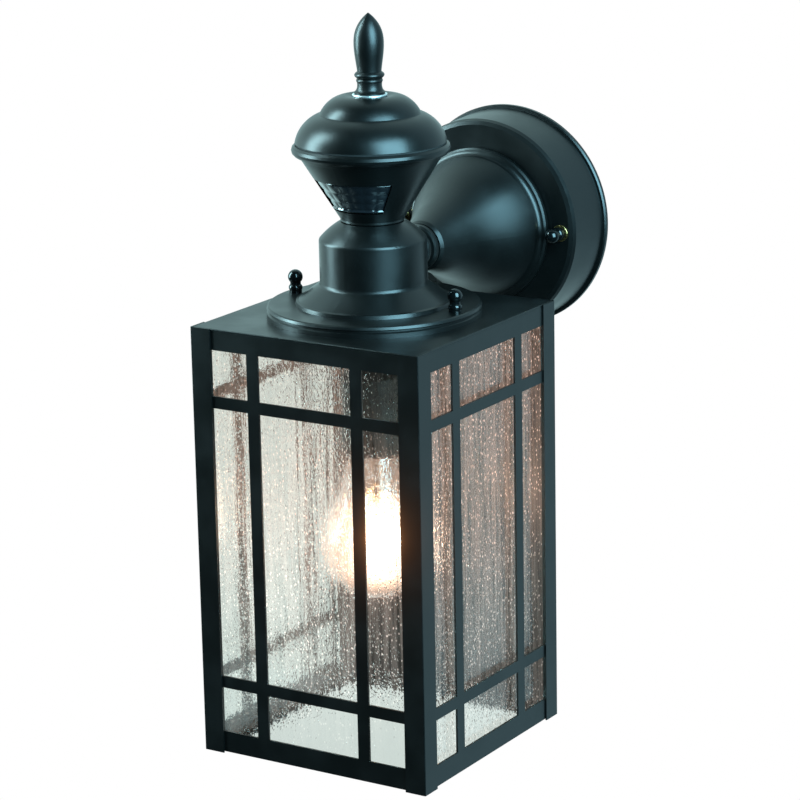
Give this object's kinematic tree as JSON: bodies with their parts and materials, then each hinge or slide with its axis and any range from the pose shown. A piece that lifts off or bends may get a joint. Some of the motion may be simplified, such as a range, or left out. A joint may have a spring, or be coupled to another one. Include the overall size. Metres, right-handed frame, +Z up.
{
  "type": "outdoor wall lantern",
  "caption": "Outdoor wall lantern: a lattice cage with clear seeded glass under a round neck with a motion-sensing head, on a bell-shaped arm and a round wall plate.",
  "frame": {"origin": "on the wall plane, midway between the two box-screw slots of the mounting strap, at the axis of the arm", "axes": "+Z up, +Y into the wall, +X to the right as seen from in front of the lantern"},
  "size_m": [0.14, 0.215, 0.3954],
  "materials": {
    "black_coat": "satin black powder coat",
    "black_gloss": "gloss black enamel",
    "zinc_steel": "zinc plated",
    "brass": "plain brass",
    "ground_green": "green zinc plate",
    "aluminium_cap": "drawn, unpolished",
    "bright_steel": "bright zinc plate",
    "bulb_frosted_glass": "frosted inside, lit",
    "stem_glass": "pressed lead glass",
    "glowing_wire": "tungsten coil, lit",
    "seeded_glass": "clear glass with fine seeds and vertical streaks",
    "lens_plastic": "dark smoked, ribbed inside",
    "gasket_rubber": "closed-cell foam",
    "lampholder_ceramic": "white glaze",
    "board_green": "solder resist over glass laminate",
    "relay_blue": "moulded case",
    "capacitor_sleeve": "shrink sleeve",
    "detector_can": "nickel plated can",
    "control_black": "moulded",
    "control_white": "moulded"
  },
  "bodies": {
    "lantern": {"arm_collar": "black_coat", "arm_locknuts": "zinc_steel", "arm_nipple": "zinc_steel", "bell_arm": "black_coat", "canopy_studs": "zinc_steel", "cap_gasket": "gasket_rubber", "cap_rod": "zinc_steel", "centre_contact": "brass", "control_board": "board_green", "detector_board": "board_green", "finial_washer": "bright_steel", "ground_screw": "ground_green", "head_locknuts": "zinc_steel", "head_tube": "zinc_steel", "lampholder_body": "lampholder_ceramic", "lampholder_locknuts": "zinc_steel", "lampholder_nipple": "zinc_steel", "lampholder_plate": "zinc_steel", "load_relay": "relay_blue", "main_board": "board_green", "mounting_strap": "zinc_steel", "neck_body": "black_coat", "photocell": "detector_can", "pir_detector": "detector_can", "range_potentiometer": "control_black", "rod_coupler": "zinc_steel", "screw_shell": "brass", "sensor_cap": "black_coat", "sensor_housing": "black_coat", "sensor_lens": "lens_plastic", "supply_capacitor": "capacitor_sleeve", "time_switch_body": "control_black", "wall_nut_washers": "brass", "wall_pan": "black_coat"},
    "wall_ball_nut_left": {"wall_ball_nut_left": "black_gloss"},
    "wall_ball_nut_right": {"wall_ball_nut_right": "black_gloss"},
    "cage_ball_nut_left": {"cage_ball_nut_left": "black_gloss"},
    "cage_ball_nut_right": {"cage_ball_nut_right": "black_gloss"},
    "finial": {"finial": "black_coat"},
    "range_dial": {"range_dial": "control_white"},
    "time_switch": {"time_switch": "control_white"},
    "bulb": {"bulb_cap": "aluminium_cap", "bulb_glass": "bulb_frosted_glass", "bulb_stem": "stem_glass", "filament": "glowing_wire"},
    "cage": {"top_plate": "black_coat", "corner_post_front_left": "black_coat", "corner_post_front_right": "black_coat", "corner_post_back_right": "black_coat", "corner_post_back_left": "black_coat", "lattice_front": "black_coat", "lattice_right": "black_coat", "lattice_left": "black_coat", "back_panel": "black_coat", "glass_ledge": "black_coat", "glass_front": "seeded_glass", "glass_right": "seeded_glass", "glass_left": "seeded_glass", "glass_clips": "zinc_steel", "cage_studs": "zinc_steel"}
  },
  "joints": [
    {"name": "wall_nut_left_spin", "type": "hinge", "parent": "lantern", "child": "wall_ball_nut_left", "pos_m": [-0.0508, -0.0388, 0], "axis": [0, -1, 0], "continuous": true},
    {"name": "wall_nut_right_spin", "type": "hinge", "parent": "lantern", "child": "wall_ball_nut_right", "pos_m": [0.0508, -0.0388, 0], "axis": [0, -1, 0], "continuous": true},
    {"name": "cage_nut_left_spin", "type": "hinge", "parent": "lantern", "child": "cage_ball_nut_left", "pos_m": [-0.05, -0.145, -0.0167], "axis": [0, 0, 1], "continuous": true},
    {"name": "cage_nut_right_spin", "type": "hinge", "parent": "lantern", "child": "cage_ball_nut_right", "pos_m": [0.05, -0.145, -0.0167], "axis": [0, 0, 1], "continuous": true},
    {"name": "finial_spin", "type": "hinge", "parent": "lantern", "child": "finial", "pos_m": [0, -0.145, 0.0978], "axis": [0, 0, 1], "continuous": true},
    {"name": "range_dial_turn", "type": "hinge", "parent": "lantern", "child": "range_dial", "pos_m": [0.0065, -0.11973, 0.0446], "axis": [0, 0.848, -0.53], "range_deg": [-135, 135]},
    {"name": "time_switch_slide", "type": "slide", "parent": "lantern", "child": "time_switch", "axis": [1, 0, 0], "range_m": [-0.002, 0.002]},
    {"name": "bulb_removal", "type": "slide", "parent": "lantern", "child": "bulb", "axis": [0, 0, -1], "range_m": [0, 0.195]},
    {"name": "cage_removal", "type": "slide", "parent": "lantern", "child": "cage", "axis": [0, 0, -1], "range_m": [0, 0.2]}
  ]
}
